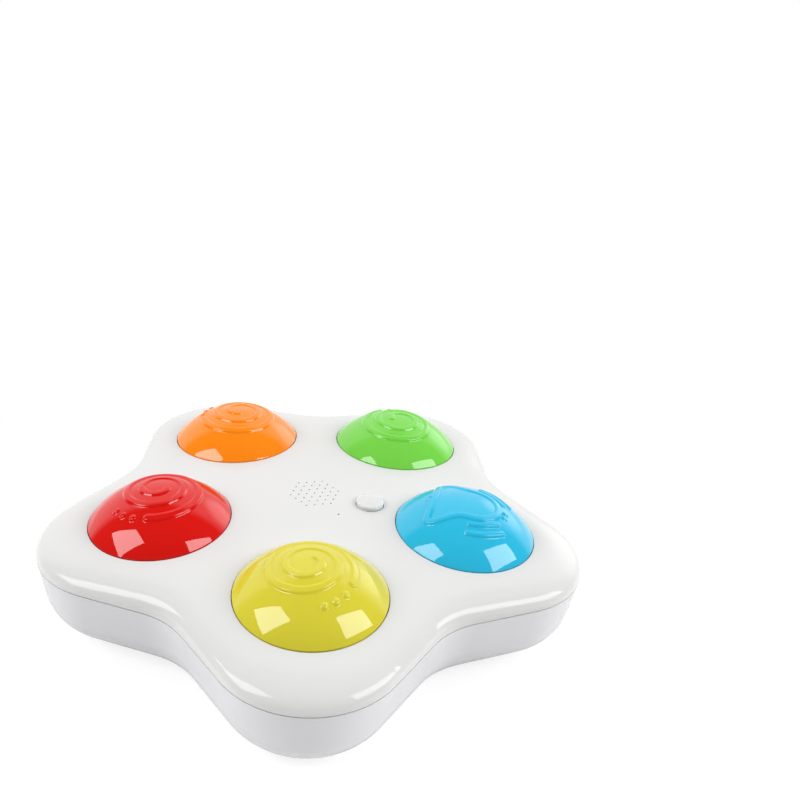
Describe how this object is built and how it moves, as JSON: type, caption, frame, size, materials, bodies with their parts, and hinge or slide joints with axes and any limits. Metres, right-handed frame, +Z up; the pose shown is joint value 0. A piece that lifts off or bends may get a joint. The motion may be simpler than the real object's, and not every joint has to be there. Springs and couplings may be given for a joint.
{
  "type": "push button treat dispenser",
  "caption": "Five-lobed floor toy with domed press buttons that are hinged lids over treat cups, a speaker grille and a small power button.",
  "frame": {"origin": "under the middle of the outline's bounding box, in the plane of the feet", "axes": "+Z up, -Y towards the front lobe with the yellow dome, +X towards the lobe with the blue dome"},
  "size_m": [0.2788, 0.2696, 0.0727],
  "materials": {
    "casing_white": "glossy moulded ABS",
    "button_white": "glossy moulded ABS",
    "tray_white": "smooth moulded ABS",
    "dome_yellow": "glossy moulded ABS",
    "dome_blue": "glossy moulded ABS",
    "dome_green": "glossy moulded ABS",
    "dome_orange": "glossy moulded ABS",
    "dome_red": "glossy moulded ABS",
    "pin_steel": "drawn steel wire",
    "spring_steel": "drawn spring steel",
    "screw_steel": "zinc-plated steel",
    "foot_rubber": "soft grey rubber",
    "switch_black": "moulded nylon",
    "board_green": "solder mask on laminate",
    "speaker_steel": "pressed and painted steel",
    "speaker_paper": "pressed paper pulp",
    "magnet_ferrite": "sintered ferrite",
    "contact_nickel": "nickel-plated strip",
    "cell_jacket": "plain printed sleeve"
  },
  "bodies": {
    "casing": {"top_cover": "casing_white", "base_shell": "casing_white", "battery_door": "casing_white", "battery_door_screw": "screw_steel", "casing_screws": "screw_steel", "rubber_feet": "foot_rubber", "batteries": "cell_jacket", "battery_contacts": "contact_nickel", "main_board": "board_green", "main_board_screws": "screw_steel", "speaker_frame": "speaker_steel", "speaker_cone": "speaker_paper", "speaker_magnet": "magnet_ferrite", "speaker_clamp": "tray_white", "microphone": "screw_steel", "power_switch": "switch_black", "power_board": "board_green", "power_button_spring": "spring_steel", "press_switch_yellow": "switch_black", "return_spring_yellow": "spring_steel", "press_switch_blue": "switch_black", "return_spring_blue": "spring_steel", "press_switch_green": "switch_black", "return_spring_green": "spring_steel", "press_switch_orange": "switch_black", "return_spring_orange": "spring_steel", "press_switch_red": "switch_black", "return_spring_red": "spring_steel"},
    "push_yellow": {"treat_tray_yellow": "tray_white", "hinge_pin_yellow": "pin_steel", "lid_spring_yellow": "spring_steel"},
    "lid_yellow": {"dome_lid_yellow": "dome_yellow"},
    "push_blue": {"treat_tray_blue": "tray_white", "hinge_pin_blue": "pin_steel", "lid_spring_blue": "spring_steel"},
    "lid_blue": {"dome_lid_blue": "dome_blue"},
    "push_green": {"treat_tray_green": "tray_white", "hinge_pin_green": "pin_steel", "lid_spring_green": "spring_steel"},
    "lid_green": {"dome_lid_green": "dome_green"},
    "push_orange": {"treat_tray_orange": "tray_white", "hinge_pin_orange": "pin_steel", "lid_spring_orange": "spring_steel"},
    "lid_orange": {"dome_lid_orange": "dome_orange"},
    "push_red": {"treat_tray_red": "tray_white", "hinge_pin_red": "pin_steel", "lid_spring_red": "spring_steel"},
    "lid_red": {"dome_lid_red": "dome_red"},
    "power_button": {"power_button": "button_white"}
  },
  "joints": [
    {"name": "press_yellow", "type": "slide", "parent": "casing", "child": "push_yellow", "axis": [0, -0.0567, 0.9984], "range_m": [-0.004, 0], "stiffness_N_per_m": 900, "springref_m": 0.003, "deforming": ["return_spring_yellow"]},
    {"name": "open_yellow", "type": "hinge", "parent": "push_yellow", "child": "lid_yellow", "pos_m": [0, -0.04742, 0.05742], "axis": [-1, 0, 0], "range_deg": [0, 75]},
    {"name": "press_blue", "type": "slide", "parent": "casing", "child": "push_blue", "axis": [0.0539, -0.0175, 0.9984], "range_m": [-0.004, 0], "stiffness_N_per_m": 900, "springref_m": 0.003, "deforming": ["return_spring_blue"]},
    {"name": "open_blue", "type": "hinge", "parent": "push_blue", "child": "lid_blue", "pos_m": [0.05402, -0.00817, 0.05742], "axis": [-0.309, -0.9511, 0], "range_deg": [0, 75]},
    {"name": "press_green", "type": "slide", "parent": "casing", "child": "push_green", "axis": [0.0333, 0.0458, 0.9984], "range_m": [-0.004, 0], "stiffness_N_per_m": 900, "springref_m": 0.003, "deforming": ["return_spring_green"]},
    {"name": "open_green", "type": "hinge", "parent": "push_green", "child": "lid_green", "pos_m": [0.03338, 0.05533, 0.05742], "axis": [0.809, -0.5878, 0], "range_deg": [0, 75]},
    {"name": "press_orange", "type": "slide", "parent": "casing", "child": "push_orange", "axis": [-0.0333, 0.0458, 0.9984], "range_m": [-0.004, 0], "stiffness_N_per_m": 900, "springref_m": 0.003, "deforming": ["return_spring_orange"]},
    {"name": "open_orange", "type": "hinge", "parent": "push_orange", "child": "lid_orange", "pos_m": [-0.03338, 0.05533, 0.05742], "axis": [0.809, 0.5878, 0], "range_deg": [0, 75]},
    {"name": "press_red", "type": "slide", "parent": "casing", "child": "push_red", "axis": [-0.0539, -0.0175, 0.9984], "range_m": [-0.004, 0], "stiffness_N_per_m": 900, "springref_m": 0.003, "deforming": ["return_spring_red"]},
    {"name": "open_red", "type": "hinge", "parent": "push_red", "child": "lid_red", "pos_m": [-0.05402, -0.00817, 0.05742], "axis": [-0.309, 0.9511, 0], "range_deg": [0, 75]},
    {"name": "power_press", "type": "slide", "parent": "casing", "child": "power_button", "axis": [0.0204, -0.006, 0.9998], "range_m": [-0.0012, 0], "stiffness_N_per_m": 500, "springref_m": 0.0015, "deforming": ["power_button_spring"]}
  ]
}
